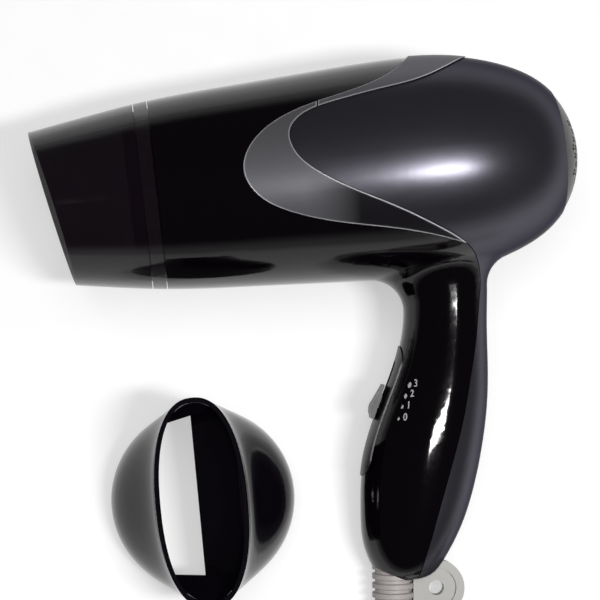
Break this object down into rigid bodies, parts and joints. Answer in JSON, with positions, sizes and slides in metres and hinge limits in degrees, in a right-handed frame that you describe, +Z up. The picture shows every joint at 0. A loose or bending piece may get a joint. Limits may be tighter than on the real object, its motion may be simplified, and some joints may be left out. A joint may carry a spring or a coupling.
{
  "type": "travel hair dryer",
  "caption": "Compact hair dryer lying on its side: smoked outlet sleeve, gloss shells, silver trim, slide switch, loose air nozzle and coiled mains cord.",
  "frame": {"origin": "on the surface that the dryer lies on, under the middle of its box", "axes": "+X along the barrel towards the intake, +Y from the handle towards the barrel, +Z up from the surface, out of the dryer's left side"},
  "size_m": [0.2696, 0.3089, 0.0858],
  "materials": {
    "housing_black": "gloss moulded plastic, near black",
    "cover_graphite": "metallic dark grey lacquer, gloss",
    "trim_silver": "satin silver lacquer",
    "smoke_clear": "smoke-tinted clear plastic, gloss",
    "grille_black": "fine satin",
    "switch_black": "satin",
    "mica": "mica sheet, matt",
    "wire_alloy": "bare heating wire",
    "steel": "plain",
    "zinc_can": "plated, satin",
    "bronze": "sintered, satin",
    "magnet": "ferrite, matt",
    "duct_plastic": "natural, matt",
    "fan_plastic": "matt",
    "board_green": "laminate, satin",
    "part_dark": "small electric parts, matt",
    "cord_grey": "soft PVC, matt",
    "loop_grey": "satin, light warm grey",
    "pin_brass": "nickel-plated",
    "nozzle_smoke": "gloss, smoked near black"
  },
  "bodies": {
    "dryer": {"circuit_board": "board_green", "cord_coil": "cord_grey", "cord_tail": "cord_grey", "cord_tie": "part_dark", "cord_tube": "cord_grey", "dust_filter": "part_dark", "fan_duct": "duct_plastic", "front_shell": "housing_black", "hanging_loop": "loop_grey", "heat_shield": "mica", "heater_winding": "wire_alloy", "housing_screws": "steel", "intake_grille": "grille_black", "mica_board_flat": "mica", "mica_board_upright": "mica", "motor_bushes": "bronze", "motor_can": "zinc_can", "motor_magnet": "magnet", "outlet_collar": "smoke_clear", "outlet_grille": "grille_black", "outlet_sleeve": "smoke_clear", "plug_body": "cord_grey", "plug_pins": "pin_brass", "rear_cover": "cover_graphite", "rectifier_diodes": "part_dark", "strain_relief": "cord_grey", "switch_body": "part_dark", "switch_plate": "switch_black", "thermal_fuse": "part_dark", "thermostat": "part_dark", "trim_left": "trim_silver", "trim_right": "trim_silver", "trim_top": "trim_silver"},
    "fan": {"fan_impeller": "fan_plastic", "motor_shaft": "steel", "motor_armature": "steel"},
    "switch": {"switch_knob": "switch_black"},
    "nozzle": {"nozzle_shell": "nozzle_smoke", "nozzle_deflector": "nozzle_smoke"}
  },
  "joints": [
    {"name": "fan_spin", "type": "hinge", "parent": "dryer", "child": "fan", "pos_m": [0.06136, 0.07213, 0.04434], "axis": [0.9988, 0, 0.0488], "continuous": true},
    {"name": "switch_slide", "type": "slide", "parent": "dryer", "child": "switch", "axis": [0.4056, 0.8926, 0.1968], "range_m": [0, 0.0129]},
    {"name": "nozzle_lift", "type": "slide", "parent": "dryer", "child": "nozzle", "axis": [0, 0, 1], "range_m": [0, 0.06]}
  ]
}
